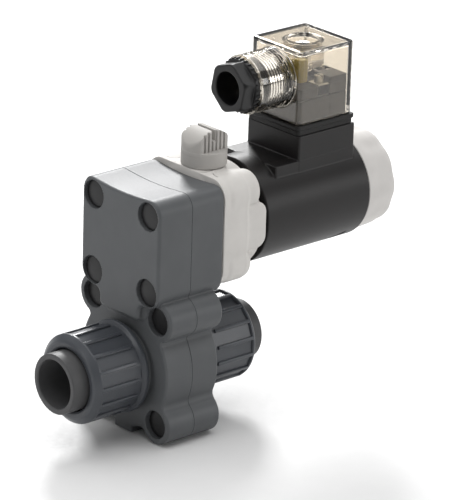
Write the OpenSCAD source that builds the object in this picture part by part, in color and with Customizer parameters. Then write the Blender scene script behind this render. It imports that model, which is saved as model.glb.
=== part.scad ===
// Thermoplastic two-way solenoid valve with union ends, a horizontal coil and a square plug.
// Frame: origin at the mouth of the inlet socket, +X along the flow, +Z up.
// Stations named x_... are measured from the joint face between the two body halves.

/* [Pipe ends] */
// Distance from each end face to the joint face of the body
half_length = 49.5; // [47:0.5:60]
// Radius of the solvent-cement socket in each end connector
socket_r = 10; // [9:0.1:10.6]
// Depth of each socket
socket_depth = 16; // [12:0.5:16]
// Outer radius of the end connectors
connector_r = 12.4; // [12:0.1:12.8]
// Radius of the flow passage
port_r = 7.5; // [5:0.1:8]
// Outer radius of the union nuts, over the panels
nut_r = 18.1; // [17.8:0.1:18.6]
// Number of grip ribs on a union nut
nut_ribs = 16; // [8:1:24]

/* [Body] */
// Thickness of each half of the upper block
block_t = 17; // [16:0.5:18]
// Width of the upper block
block_w = 46.8; // [46:0.2:50]
// Height of the block's upper corners above the pipe axis
block_top = 75.3; // [74.5:0.1:76]
// Height of the block's lower edge above the pipe axis
block_foot = 29.4; // [28:0.1:29.8]
// Depth of the hollow in the block's top edge
top_dip = 1.6; // [0.5:0.1:2.5]
// Thickness of each half of the round lower part
disc_t = 13.5; // [12:0.5:14]
// Radius of the round lower part
disc_r = 26; // [25:0.5:26.5]
// Radius of the four ears
ear_r = 8.3; // [8:0.1:8.6]
// Sideways distance of the ears from the middle
ear_y = 19.6; // [19:0.1:21]
// Height of the upper ears above the pipe axis
ear_top_z = 23.8; // [23:0.1:24.5]
// Depth of the lower ears below the pipe axis
ear_low_z = 20; // [19:0.1:21]
// Radius of the round bolt covers
cover_r = 5.7; // [5:0.1:5.8]

/* [Solenoid] */
// Height of the coil's axis above the pipe axis
coil_z = 53; // [52.8:0.1:53.2]
// Radius of the round coil
coil_r = 22; // [21.5:0.1:22.2]
// Front face of the coil
x_coil = 41.8; // [41.5:0.1:42.5]
// Rear face of the coil
x_coil_end = 97.5; // [97:0.1:97.6]
// Travel of the plunger
plunger_travel = 3; // [1:0.5:3]
// Radius of the retaining cap where it meets the coil
cap_r = 21.4; // [21:0.1:21.8]
// Rear face of the retaining cap
x_cap_end = 113.7; // [112:0.1:116]

/* [Plug] */
// Side of the square plug housing
plug_w = 29.4; // [29:0.1:30]
// Station of the plug's middle
x_plug = 77.5; // [77:0.1:78]
// Height of the plug's top above the pipe axis
plug_top = 118.6; // [118:0.1:122]
// Wall of the plug housing
plug_wall = 2; // [1.5:0.1:2]
// Height of the cable entry above the pipe axis
entry_z = 105; // [104.5:0.1:105.5]
// Radius of the cable bore in the gland nut
cable_r = 6.8; // [5:0.1:7]

/* [Hidden] */
$fn = 72;

cut = 1;                 // how far a cutting tool runs past the face it cuts
fit_gap = 0.05;          // clearance between pieces that are fitted together
run_gap = 0.1;           // clearance between pieces that slide or turn

// body
block_corner_r = 7;
bolt_y = 16.4;
bolt_zs = [35.7, 67.6];
ear_zs = [-ear_low_z, ear_top_z];
bolt_r = 2.5;
bolt_head_r = 4.3;
bolt_head_h = 4.2;
hex_key_r = 2.3;
hex_key_depth = 2.5;
insert_r = 4;
x_ear_insert = 1;
x_ear_insert_end = 9;
x_bonnet_insert = 19;
x_bonnet_insert_end = 29;
cover_t = 1.6;
block_cover_sunk = 1.1;  // how far a cover lies below its face
ear_cover_sunk = 1.6;
block_pocket = cover_t + block_cover_sunk + 0.1;
ear_pocket = cover_t + ear_cover_sunk + 0.1;
neck_half = 12;
neck_foot = 22.5;
foot_w = 10.4;
foot_z = -ear_low_z - ear_r;
boss_r = 16.3;
x_boss = 26.2;
passage_r = 4.5;
x_passage = 7;
seat_r_out = 9;
seat_r_in = 6;
x_seat = 6;
chamber_r = 14.5;
x_chamber = 3;
clamp_r = 18;            // rim of the diaphragm
clamp_t = 1.8;
web_t = 0.8;             // diaphragm's working web
sleeve_t = 1.5;          // its sleeve round the rod
sleeve_h = 2.8;
sleeve_back = 1.5;
bush_t = 3.4;
body_seal_r = 11.4;
body_seal_wire = 1.1;

// unions
flange_r = 14.9;
x_flange = 35;
x_flange_face = 26.5;
mouth_chamfer = 0.5;
nut_front = 42.5;
nut_chamfer_w = 3.2;
nut_chamfer_drop = 2.3;
nut_back = 16;
nut_rim_r = 19;
nut_rim_w = 2.6;
nut_bore_r = boss_r + 0.3;
nut_hole_r = connector_r + 0.5;
rib_h = 0.4;
rib_w = 1.6;
rib_z0 = 5;              // start and end of a rib, from the nut's open end
rib_z1 = 22.8;
inlet_nut_turn = 9.75;   // how far the inlet nut stands turned from the outlet nut
union_ring_r = 11.9;
ring_stand = 0.1;         // how far a union ring stands out of its groove
union_ring_wire = 1.1;
union_groove = 2 * union_ring_wire;

// bonnet
bonnet_top = 76.1;
bonnet_foot = 31.5;
x_bonnet = 31;
bonnet_corner_r = 8;
hub_r = 22.4;
hub_wall = 3;
x_hub = 38.5;
tab_z0 = 44.5;
tab_z1 = 64;
tab_edge_r = 3;
tab_y = block_w / 2 - 0.3;
x_tab = 40;
bonnet_bore_r = 10.3;
x_tube_seat = 34.6;

// manual override
x_knob = 26;
knob_r = 9.25;
knob_z = 76.3;
knob_base_h = 6;
knob_h = 15;
knob_shoulder_h = 9.2;
knob_blade_half = 6.2;
knob_ribs = 6;
knob_rib_pitch = 2;
knob_groove_w = 0.8;
knob_groove_depth = 0.6;
knob_socket_depth = 4;
slot_w = 1.6;
slot_depth = 4.4;
stem_r = 3;
stem_foot_z = 62;
spigot_r = stem_r - 0.5; // top of the stem, in the knob's socket
stem_ring_z = 69.5;
stem_ring_wire = 0.42;
stem_groove_w = 1;
cam_offset = 1.6;
cam_r = 1.2;
cam_foot_z = 57.4;

// plunger and core
rod_r = 4;
seal_r = 7.8;
x_head = x_seat + 2.2;   // disc that carries the seat seal
head_r = 8;
head_t = 2.4;
x_collar = 29.1;
collar_t = 1.5;
collar_r = 7;
collar_space = 3.8;      // room for the collar to travel in
x_armature = 34;
x_armature_end = 62;
armature_r = 6.45;
tube_r_in = 6.55;
tube_r_out = 7.5;
x_tube = 30;
x_tube_end = 99;
x_core = x_armature_end + 0.2 + plunger_travel;
x_stud_end = 108;
stud_r = 5;
shade_r_out = 5.3;
shade_r_in = 4.5;
shade_t = 1.4;
spring_r = 2.9;
spring_wire = 0.45;
spring_turns = 8;
x_spring = 52.5;

// coil
saddle_half = 15.5;
x_saddle = 50.7;
x_saddle_end = 93.5;
saddle_top = 73.4;
x_riser = 62.9;
x_riser_end = 93.5;
riser_top = 83.6;
winding_space_r = 18.6;
x_space = 45.6;
x_space_end = 94;
space_len = x_space_end - x_space;
yoke_t = 2.2;
bobbin_gap = 0.1;        // between the yoke and the bobbin, at each end
bobbin_r = 16;
bobbin_core_r = 9;
bobbin_cheek = 1.5;
winding_r = 15.4;
screw_hole = 8;          // depth of the plug screw's hole
blade_z = 76;
blade_foot = 6.4;
blade_t = 0.8;
blade_w = 6.3;
blade_h = 20;

// cap
cap_gap = 0.3;           // between the coil and the cap
cap_taper = 1;
cap_edge = 2;
cap_rim = 3;
cap_hollow_r = 18;
cap_tube_bore = 5;
cap_grips = 10;
grip_r = 10.6;
grip_depth = 1.6;
washer_r = 15;
washer_t = 1.5;

// plug
gasket_t = 4.2;
gasket_lip = 0.9;
gasket_well = 26;
gasket_floor = 1.5;
foot_hole = blade_foot + 1;
plug_z = riser_top + gasket_t + 0.1;
neck_r = 12.2;
neck_bore_r = 10.3;
x_neck = 45.5;
recess_r = 6.6;
recess_depth = 4.5;
cup_z = 108;
cup_wall = 1.4;
screw_r = 1.5;
screw_bore_r = 1.75;
screw_tube_r = 3.6;
screw_head_r = 3;
screw_head_t = 2.4;
screw_slot_w = 1;
block_side = 24.8;
block_z = riser_top + 1.9;
block_top_z = 104.8;
blade_slot_t = 1.6;
blade_slot_w = 7;
blade_slot_h = 13;
clamp_space = 6.2;
clamp_z = 97.6;
clamp_w = 6;
clamp_h = 5;
clamp_screw_r = 1.9;
clamp_screw_h = 8;
clamp_slot_w = 0.8;
wire_hole_r = 4;
board_inset = 12;        // from the plug's middle to the board's front and side
board_z = 106;
board_t = 1.6;
board_w = 9;
board_h = 9;
lamp_y = 2.5;
lamp_z = 5;
lamp_t = 3.2;
lamp_w = 4;
lamp_h = 3;
blade_y = 9;
gland_hex_r = 11;
x_gland = 37.4;
x_gland_hex_end = 43;
gland_collar_r = 11.6;
gland_hex_turn = -12;
gland_screw_h = 10;
gland_ring_r = neck_bore_r - 0.4;
gland_washer_t = 0.8;
gland_seal_t = 6;

module on_pipe(x) {
  translate([half_length + x, 0, 0]) rotate([0, 90, 0]) children();
}

module on_coil(x) {
  translate([half_length + x, 0, coil_z]) rotate([0, 90, 0]) children();
}

module on_entry(x) {
  translate([half_length + x, 0, entry_z]) rotate([0, 90, 0]) children();
}

// Stands a flat outline, drawn with Y to the right and Z up, between two stations.
module plate(x0, x1) {
  translate([half_length + x0, 0, 0]) rotate([90, 0, 90]) linear_extrude(x1 - x0) children();
}

module tube(r_out, r_in, h) {
  difference() {
    cylinder(r = r_out, h = h);
    translate([0, 0, -cut]) cylinder(r = r_in, h = h + 2 * cut);
  }
}

module o_ring(r, wire) {
  rotate_extrude() translate([r, 0]) circle(r = wire, $fn = 24);
}

module ring_groove(r, wire, depth) {
  tube(r + wire + fit_gap, r - wire - fit_gap, depth);
}

module rounded_outline(w, z0, z1, r) {
  translate([-w / 2 + r, z0]) square([w - 2 * r, z1 - z0]);
  translate([-w / 2, z0 + r]) square([w, z1 - z0 - 2 * r]);
  for (y = [-w / 2 + r, w / 2 - r], z = [z0 + r, z1 - r]) translate([y, z]) circle(r = r);
}

module block_outline() {
  chord = block_w / 2 - block_corner_r;
  hollow_r = (chord * chord + top_dip * top_dip) / (2 * top_dip);
  difference() {
    rounded_outline(block_w, block_foot, block_top, block_corner_r);
    translate([0, block_top - top_dip + hollow_r]) circle(r = hollow_r, $fn = 180);
  }
}

module disc_outline() {
  circle(r = disc_r, $fn = 120);
  translate([-ear_y, 0]) square([2 * ear_y, block_foot + cut]);
  for (side = [-1, 1], z = ear_zs) translate([side * ear_y, z]) circle(r = ear_r);
  translate([-foot_w / 2, foot_z]) square([foot_w, ear_low_z]);
}

// Calls its children once at each bolt of the block, or of the ears.
module at_block_bolts() {
  for (side = [-1, 1], z = bolt_zs) translate([0, side * bolt_y, z]) children();
}

module at_ear_bolts() {
  for (side = [-1, 1], z = ear_zs) translate([0, side * ear_y, z]) children();
}

module rod_x(x0, x1, r) {
  translate([half_length + x0, 0, 0]) rotate([0, 90, 0]) cylinder(r = r, h = x1 - x0);
}

module half_blank() {
  plate(0, block_t) block_outline();
  plate(0, block_t) translate([-neck_half, neck_foot])
    square([2 * neck_half, block_foot + cut - neck_foot]);
  plate(0, disc_t) disc_outline();
  rod_x(0, x_boss, boss_r);
}

module body_front() {
  color("#5f6163")
  difference() {
    union() {
      translate([2 * half_length, 0, 0]) mirror([1, 0, 0]) half_blank();
      on_coil(-cut) cylinder(r = seat_r_out, h = x_seat + cut);
    }
    on_pipe(-x_boss - cut) cylinder(r = port_r, h = x_boss - x_passage + cut);
    translate([half_length - x_passage, 0, 0]) cylinder(r = passage_r, h = coil_z + passage_r);
    on_coil(-x_passage) cylinder(r = seat_r_in, h = x_passage + x_seat + cut);
    on_pipe(-x_boss - cut) ring_groove(union_ring_r, union_ring_wire, union_groove + cut);
    on_coil(-body_seal_wire) ring_groove(body_seal_r, body_seal_wire, body_seal_wire + cut);
    at_block_bolts() {
      rod_x(-block_t - cut, -block_t + block_pocket, cover_r + fit_gap);
      rod_x(-block_t, -block_t + block_pocket + bolt_head_h, bolt_head_r + run_gap);
      rod_x(-block_t, cut, bolt_r + run_gap);
    }
    at_ear_bolts() {
      rod_x(-block_t - cut, -disc_t + ear_pocket, cover_r + fit_gap);
      rod_x(-disc_t, -disc_t + ear_pocket + bolt_head_h, bolt_head_r + run_gap);
      rod_x(-disc_t, cut, bolt_r + run_gap);
    }
  }
}

module body_rear() {
  color("#5f6163")
  difference() {
    half_blank();
    on_pipe(x_passage) cylinder(r = port_r, h = x_boss - x_passage + cut);
    translate([half_length + x_passage, 0, 0]) cylinder(r = passage_r, h = coil_z);
    on_coil(-cut) cylinder(r = seat_r_out + fit_gap, h = x_chamber + 2 * cut);
    on_coil(x_chamber) cylinder(r = chamber_r, h = block_t);
    on_coil(block_t - clamp_t) cylinder(r = clamp_r + fit_gap, h = clamp_t + cut);
    on_pipe(x_boss - union_groove) ring_groove(union_ring_r, union_ring_wire, union_groove + cut);
    on_coil(-cut) ring_groove(body_seal_r, body_seal_wire, body_seal_wire + cut);
    at_block_bolts() rod_x(-cut, block_t + cut, bolt_r + run_gap);
    at_ear_bolts() rod_x(-cut, x_ear_insert_end + 1, insert_r + fit_gap);
  }
}

module body_seal() {
  color("#1d1d1d") on_coil(0) o_ring(body_seal_r, body_seal_wire);
}

module bolt_cover(x_front) {
  rod_x(x_front, x_front + cover_t, cover_r);
}

module bolt_covers() {
  color("#3a3a3a") {
    at_block_bolts() bolt_cover(-block_t + block_cover_sunk);
    at_ear_bolts() bolt_cover(-disc_t + ear_cover_sunk);
  }
}

module socket_bolt(x_head, x_end) {
  difference() {
    union() {
      rod_x(x_head, x_head + bolt_head_h, bolt_head_r);
      rod_x(x_head, x_end, bolt_r);
    }
    translate([half_length + x_head - cut, 0, 0]) rotate([0, 90, 0])
      cylinder(r = hex_key_r, h = hex_key_depth + cut, $fn = 6);
  }
}

module block_bolts() {
  color("#c0c2c4") at_block_bolts() socket_bolt(-block_t + block_pocket, x_bonnet_insert_end);
}

module ear_bolts() {
  color("#c0c2c4") at_ear_bolts() socket_bolt(-disc_t + ear_pocket, x_ear_insert_end);
}

module threaded_insert(x0, x1) {
  translate([half_length + x0, 0, 0]) rotate([0, 90, 0]) tube(insert_r, bolt_r + fit_gap, x1 - x0);
}

module ear_inserts() {
  color("#b8963e") at_ear_bolts() threaded_insert(x_ear_insert, x_ear_insert_end);
}

module bonnet_inserts() {
  color("#b8963e") at_block_bolts() threaded_insert(x_bonnet_insert, x_bonnet_insert_end);
}

// An end connector with its socket mouth at the origin and its flange towards +Z.
module end_connector() {
  difference() {
    union() {
      cylinder(r1 = connector_r - mouth_chamfer, r2 = connector_r, h = mouth_chamfer);
      translate([0, 0, mouth_chamfer]) cylinder(r = connector_r, h = half_length - x_flange);
      translate([0, 0, half_length - x_flange]) cylinder(r = flange_r, h = x_flange - x_flange_face);
    }
    translate([0, 0, -cut]) cylinder(r = socket_r, h = socket_depth + cut);
    cylinder(r = port_r, h = half_length);
  }
}

module inlet_connector() {
  color("#5c5c5e") rotate([0, 90, 0]) end_connector();
}

module outlet_connector() {
  color("#5c5c5e") translate([2 * half_length, 0, 0]) rotate([0, -90, 0]) end_connector();
}

// A union nut with its open end at the origin and its front wall towards +Z.
module union_nut() {
  nut_len = nut_front - nut_back;
  front_wall = nut_front - x_flange - run_gap;
  difference() {
    union() {
      cylinder(r = nut_rim_r, h = nut_rim_w);
      cylinder(r = nut_r, h = nut_len - nut_chamfer_w);
      translate([0, 0, nut_len - nut_chamfer_w])
        cylinder(r1 = nut_r, r2 = nut_r - nut_chamfer_drop, h = nut_chamfer_w);
      for (i = [0 : nut_ribs - 1]) rotate([0, 0, (i + 0.5) * 360 / nut_ribs])
        translate([nut_r - cut, -rib_w / 2, rib_z0]) cube([rib_h + cut, rib_w, rib_z1 - rib_z0]);
    }
    translate([0, 0, -cut]) cylinder(r = nut_bore_r, h = nut_len - front_wall + cut);
    translate([0, 0, nut_len - front_wall - cut]) cylinder(r = nut_hole_r, h = front_wall + 2 * cut);
  }
}

module inlet_union_nut() {
  color("#44474a") on_pipe(-nut_back) rotate([0, 0, inlet_nut_turn]) mirror([0, 0, 1]) union_nut();
}

module outlet_union_nut() {
  color("#44474a") on_pipe(nut_back) union_nut();
}

module inlet_o_ring() {
  color("#1d1d1d") on_pipe(-x_boss + union_ring_wire - ring_stand) o_ring(union_ring_r, union_ring_wire);
}

module outlet_o_ring() {
  color("#1d1d1d") on_pipe(x_boss - union_ring_wire + ring_stand) o_ring(union_ring_r, union_ring_wire);
}

module diaphragm() {
  color("#26282a")
  on_coil(block_t - clamp_t + fit_gap) difference() {
    union() {
      translate([0, 0, (clamp_t - web_t) / 2]) cylinder(r = chamber_r, h = web_t);
      tube(clamp_r, chamber_r - 0.5, clamp_t - 2 * fit_gap);
      translate([0, 0, -sleeve_back]) cylinder(r = rod_r + sleeve_t, h = sleeve_h);
    }
    translate([0, 0, -sleeve_back - cut]) cylinder(r = rod_r + fit_gap, h = sleeve_h + 2 * cut);
  }
}

module guide_bush() {
  color("#d8d5cc") on_coil(block_t + fit_gap) tube(bonnet_bore_r - fit_gap, rod_r + run_gap, bush_t);
}

module bonnet() {
  color("#c3bfbc")
  difference() {
    union() {
      plate(block_t, x_bonnet) rounded_outline(block_w, bonnet_foot, bonnet_top, bonnet_corner_r);
      plate(x_bonnet - cut, x_tab) rounded_outline(2 * tab_y, tab_z0, tab_z1, tab_edge_r);
      on_coil(x_bonnet - cut) cylinder(r = hub_r, h = x_hub - x_bonnet + cut);
    }
    on_coil(x_hub) cylinder(r = hub_r - hub_wall, h = x_tab);
    on_coil(block_t - cut) cylinder(r = bonnet_bore_r, h = x_tube_seat - block_t + cut);
    on_coil(x_tube_seat - cut) cylinder(r = tube_r_out + fit_gap, h = x_tab);
    at_block_bolts() rod_x(block_t - cut, x_bonnet_insert_end + 0.2, insert_r + fit_gap);
    translate([half_length + x_knob, 0, coil_z]) cylinder(r = stem_r + fit_gap, h = bonnet_top);
  }
}

module knob_profile() {
  rise = knob_h - knob_shoulder_h;
  arch_r = (knob_r * knob_r + rise * rise) / (2 * rise);
  intersection() {
    translate([-knob_r, 0]) square([2 * knob_r, knob_h]);
    translate([0, knob_h - arch_r]) circle(r = arch_r, $fn = 120);
  }
}

module override_knob() {
  color("#a9a7a4")
  translate([half_length + x_knob, 0, knob_z]) difference() {
    intersection() {
      cylinder(r = knob_r, h = knob_h);
      rotate([90, 0, 0]) translate([0, 0, -knob_r]) linear_extrude(2 * knob_r) knob_profile();
    }
    for (side = [0, 1]) mirror([0, side, 0]) translate([-knob_r, knob_blade_half, knob_base_h])
      cube([2 * knob_r, knob_r, knob_h]);
    translate([-slot_w / 2, -knob_r, knob_h - slot_depth]) cube([slot_w, 2 * knob_r, knob_h]);
    for (side = [-1, 1], i = [0 : knob_ribs - 1])
      translate([(i - (knob_ribs - 1) / 2) * knob_rib_pitch - knob_groove_w / 2,
                 side * knob_blade_half - knob_groove_depth, knob_base_h])
        cube([knob_groove_w, 2 * knob_groove_depth, knob_h]);
    translate([0, 0, -cut]) cylinder(r = spigot_r, h = knob_socket_depth + cut);
  }
}

module override_stem() {
  color("#c9b27a")
  translate([half_length + x_knob, 0, 0]) difference() {
    union() {
      translate([0, 0, stem_foot_z]) cylinder(r = stem_r, h = knob_z - fit_gap - stem_foot_z);
      translate([0, 0, knob_z - cut]) cylinder(r = spigot_r - fit_gap, h = knob_socket_depth + cut - 0.2);
      translate([0, -cam_offset, cam_foot_z]) cylinder(r = cam_r, h = stem_foot_z - cam_foot_z + cut);
    }
    translate([0, 0, stem_ring_z - stem_groove_w / 2]) tube(stem_r + cut, stem_r - 0.9, stem_groove_w);
  }
}

module override_o_ring() {
  color("#1d1d1d") translate([half_length + x_knob, 0, stem_ring_z])
    o_ring(stem_r - stem_ring_wire, stem_ring_wire);
}

module core_tube() {
  color("#c4c6c8")
  on_coil(x_tube) difference() {
    union() {
      cylinder(r = bonnet_bore_r - fit_gap, h = x_tube_seat - x_tube - fit_gap);
      cylinder(r = tube_r_out, h = x_tube_end - x_tube);
    }
    translate([0, 0, -cut]) cylinder(r = collar_r + 0.6, h = collar_space + cut);
    cylinder(r = tube_r_in, h = x_tube_end);
  }
}

module fixed_core() {
  color("#b4b6b8")
  difference() {
    union() {
      on_coil(x_core) cylinder(r = tube_r_in - fit_gap, h = x_tube_end - x_core);
      on_coil(x_tube_end) cylinder(r = stud_r, h = x_stud_end - x_tube_end);
    }
    on_coil(x_core - cut) tube(shade_r_out + run_gap, shade_r_in - run_gap, shade_t + 0.2 + cut);
  }
}

module shading_ring() {
  color("#c87a4a") on_coil(x_core + fit_gap) tube(shade_r_out, shade_r_in, shade_t);
}

module plunger() {
  color("#b4b6b8")
  difference() {
    union() {
      on_coil(x_head) cylinder(r = head_r, h = head_t);
      on_coil(x_head) cylinder(r = rod_r, h = x_armature + cut - x_head);
      on_coil(x_collar) cylinder(r = collar_r, h = collar_t);
      on_coil(x_armature) cylinder(r = armature_r, h = x_armature_end - x_armature);
    }
    on_coil(x_spring) cylinder(r = spring_r + spring_wire + 0.3, h = x_armature_end);
  }
}

module seat_seal() {
  color("#1d1d1d") on_coil(x_seat + fit_gap) cylinder(r = seal_r, h = x_head - x_seat - 2 * fit_gap);
}

// Points round the spring's wire at step i of its helix.
spring_steps = 20;
spring_sides = 6;
spring_len = x_core - x_spring - 2 * spring_wire - 0.1;
function spring_point(i, j) =
  let (turn = 360 * i / spring_steps,
       side = 360 * j / spring_sides,
       r = spring_r + spring_wire * cos(side))
  [r * cos(turn), r * sin(turn), spring_len * i / (spring_turns * spring_steps) + spring_wire * sin(side)];

module return_spring() {
  rings = spring_turns * spring_steps;
  sides = spring_sides;
  points = [for (i = [0 : rings], j = [0 : sides - 1]) spring_point(i, j)];
  walls = [for (i = [0 : rings - 1], j = [0 : sides - 1])
    [i * sides + j, i * sides + (j + 1) % sides, (i + 1) * sides + (j + 1) % sides, (i + 1) * sides + j]];
  start = [[for (j = [sides - 1 : -1 : 0]) j]];
  end = [[for (j = [0 : sides - 1]) rings * sides + j]];
  color("#d0d2d4") on_coil(x_spring + spring_wire + fit_gap)
    polyhedron(points = points, faces = concat(walls, start, end), convexity = 10);
}

module coil_housing() {
  color("#3f3d3d")
  difference() {
    union() {
      on_coil(x_coil) cylinder(r = coil_r, h = x_coil_end - x_coil);
      translate([half_length + x_saddle, -saddle_half, coil_z])
        cube([x_saddle_end - x_saddle, 2 * saddle_half, saddle_top - coil_z]);
      translate([half_length + x_riser, -saddle_half, coil_z])
        cube([x_riser_end - x_riser, 2 * saddle_half, riser_top - coil_z]);
    }
    on_coil(x_coil - cut) cylinder(r = tube_r_out + run_gap, h = x_coil_end);
    on_coil(x_space) cylinder(r = winding_space_r, h = space_len);
    translate([half_length + x_plug, 0, riser_top - screw_hole])
      cylinder(r = screw_r + run_gap, h = screw_hole + cut);
    for (spot = blade_spots) translate([spot[0], spot[1], blade_z]) blade_cut();
  }
}

// Middles of the two live blades and of the earth blade.
blade_spots = [
  [half_length + x_plug, -blade_y, 90],
  [half_length + x_plug, blade_y, 90],
  [half_length + x_plug + blade_y, 0, 0]
];

module blade_cut() {
  side = blade_foot + 2 * run_gap;
  translate([-side / 2, -side / 2, 0]) cube([side, side, riser_top - blade_z + cut]);
}

module coil_blade() {
  translate([-blade_t / 2, -blade_w / 2, 0]) cube([blade_t, blade_w, blade_h]);
}

module coil_blades() {
  color("#d5cfc0") for (spot = blade_spots)
    translate([spot[0], spot[1], blade_z + run_gap]) rotate([0, 0, spot[2]]) union() {
      coil_blade();
      translate([-blade_foot / 2, -blade_foot / 2, 0])
        cube([blade_foot, blade_foot, riser_top - blade_z - run_gap]);
    }
}

module coil_yoke() {
  color("#8a8c8e")
  difference() {
    on_coil(x_space + fit_gap) cylinder(r = winding_space_r - fit_gap, h = space_len - 2 * fit_gap);
    on_coil(x_space - cut) cylinder(r = tube_r_out + run_gap, h = x_space_end);
    on_coil(x_space + yoke_t) cylinder(r = winding_space_r - yoke_t, h = space_len - 2 * yoke_t);
  }
}

module coil_bobbin() {
  bobbin_len = space_len - 2 * (yoke_t + bobbin_gap);
  color("#d8d5cc")
  on_coil(x_space + yoke_t + bobbin_gap) union() {
    tube(bobbin_core_r, tube_r_out + run_gap, bobbin_len);
    for (z = [0, bobbin_len - bobbin_cheek]) translate([0, 0, z])
      tube(bobbin_r, tube_r_out + cut, bobbin_cheek);
  }
}

module coil_winding() {
  inset = yoke_t + bobbin_gap + bobbin_cheek + run_gap;
  color("#b5651d") on_coil(x_space + inset)
    tube(winding_r, bobbin_core_r + fit_gap, space_len - 2 * inset);
}

module retaining_cap() {
  cap_len = x_cap_end - x_coil_end - cap_gap;
  color("#c5c0bd")
  on_coil(x_coil_end + cap_gap) difference() {
    union() {
      cylinder(r1 = cap_r, r2 = cap_r - cap_taper, h = cap_len - cap_edge);
      translate([0, 0, cap_len - cap_edge])
        cylinder(r1 = cap_r - cap_taper, r2 = cap_r - cap_taper - cap_edge, h = cap_edge);
    }
    for (i = [0 : cap_grips - 1]) rotate([0, 0, (i + 0.5) * 360 / cap_grips])
      translate([cap_r - grip_depth + grip_r, 0, cap_rim]) cylinder(r = grip_r, h = cap_len);
    translate([0, 0, -cut]) cylinder(r = cap_hollow_r, h = cap_rim + cut);
    translate([0, 0, -cut]) cylinder(r = tube_r_out + run_gap, h = cap_tube_bore + cut);
    cylinder(r = stud_r + fit_gap, h = x_stud_end - x_coil_end + 0.4);
  }
}

module cap_washer() {
  color("#1d1d1d") on_coil(x_coil_end + fit_gap) tube(washer_r, tube_r_out + run_gap, washer_t);
}

module plug_gasket() {
  side = plug_w + 2 * gasket_lip;
  x_mid = half_length + x_plug;
  color("#3a3a37")
  difference() {
    translate([x_mid - side / 2, -side / 2, riser_top + fit_gap]) cube([side, side, gasket_t]);
    translate([x_mid - gasket_well / 2, -gasket_well / 2, riser_top + gasket_floor])
      cube([gasket_well, gasket_well, gasket_t + cut]);
    translate([x_mid, 0, riser_top - cut]) cylinder(r = screw_r + 0.5, h = gasket_t + 2 * cut);
    for (spot = blade_spots) translate([spot[0] - foot_hole / 2, spot[1] - foot_hole / 2, riser_top - cut])
      cube([foot_hole, foot_hole, gasket_t + 2 * cut]);
  }
}

module plug_housing() {
  half = plug_w / 2;
  x_mid = half_length + x_plug;
  color("#e8e2cc", 0.45)
  difference() {
    union() {
      translate([x_mid - half, -half, plug_z]) cube([plug_w, plug_w, plug_top - plug_z]);
      on_entry(x_neck) cylinder(r = neck_r, h = x_plug - x_neck);
    }
    difference() {
      translate([x_mid - half + plug_wall, -half + plug_wall, plug_z - cut])
        cube([plug_w - 2 * plug_wall, plug_w - 2 * plug_wall, plug_top - plug_z - plug_wall + cut]);
      translate([x_mid, 0, cup_z]) cylinder(r = recess_r + cup_wall, h = plug_top);
      translate([x_mid, 0, block_top_z + 0.4]) cylinder(r = screw_tube_r, h = plug_top);
    }
    on_entry(x_neck - cut) cylinder(r = neck_bore_r, h = x_plug - half + plug_wall - x_neck + 2 * cut);
    translate([x_mid, 0, plug_top - recess_depth]) cylinder(r = recess_r, h = recess_depth + cut);
    translate([x_mid, 0, block_top_z - cut]) cylinder(r = screw_bore_r, h = plug_top);
  }
}

module terminal_block() {
  side = block_side;
  x_mid = half_length + x_plug;
  color("#625e5a")
  difference() {
    translate([x_mid - side / 2, -side / 2, block_z]) cube([side, side, block_top_z - block_z]);
    translate([x_mid, 0, riser_top]) cylinder(r = screw_bore_r, h = plug_top - riser_top);
    for (spot = blade_spots) translate([spot[0], spot[1], riser_top]) rotate([0, 0, spot[2]])
      translate([-blade_slot_t / 2, -blade_slot_w / 2, 0]) cube([blade_slot_t, blade_slot_w, blade_slot_h]);
    for (spot = blade_spots)
      translate([spot[0] - clamp_space / 2, spot[1] - clamp_space / 2, clamp_z - run_gap])
        cube([clamp_space, clamp_space, plug_top - clamp_z]);
    on_entry(x_plug - side) cylinder(r = wire_hole_r, h = side / 2 + wire_hole_r);
  }
}

module terminal_clamps() {
  color("#c9ccd0") for (spot = blade_spots) translate([spot[0], spot[1], clamp_z]) difference() {
    union() {
      translate([-clamp_w / 2, -clamp_w / 2, 0]) cube([clamp_w, clamp_w, clamp_h]);
      cylinder(r = clamp_screw_r, h = clamp_screw_h);
    }
    translate([-clamp_slot_w / 2, -clamp_w / 2, clamp_screw_h - cut])
      cube([clamp_slot_w, clamp_w, 2 * cut]);
  }
}

module indicator_board() {
  color("#b8a84a") translate([half_length + x_plug - board_inset, -board_inset, board_z]) {
    cube([board_t, board_w, board_h]);
    translate([board_t, lamp_y, lamp_z]) cube([lamp_t, lamp_w, lamp_h]);
  }
}

module fixing_screw() {
  head_z = plug_top - recess_depth + 0.1;
  foot_z0 = riser_top - screw_hole + 1;
  color("#c0c2c4")
  translate([half_length + x_plug, 0, 0]) difference() {
    union() {
      translate([0, 0, head_z]) cylinder(r = screw_head_r, h = screw_head_t);
      translate([0, 0, foot_z0]) cylinder(r = screw_r, h = head_z + cut - foot_z0);
    }
    translate([-screw_slot_w / 2, -screw_head_r - cut, head_z + screw_head_t - cut])
      cube([screw_slot_w, 2 * screw_head_r + 2 * cut, 2 * cut]);
  }
}

module gland_nut() {
  color("#2c2e30")
  difference() {
    union() {
      on_entry(x_gland) rotate([0, 0, gland_hex_turn])
        cylinder(r = gland_hex_r, h = x_gland_hex_end - x_gland, $fn = 6);
      on_entry(x_gland_hex_end) cylinder(r = gland_collar_r, h = x_neck - 0.2 - x_gland_hex_end);
      on_entry(x_gland_hex_end) cylinder(r = neck_bore_r - 0.3, h = gland_screw_h);
    }
    on_entry(x_gland - cut) cylinder(r = cable_r, h = x_plug - x_gland);
  }
}

module gland_washer() {
  color("#c9ccd0") on_entry(x_gland_hex_end + gland_screw_h + run_gap)
    tube(gland_ring_r, cable_r, gland_washer_t);
}

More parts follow.
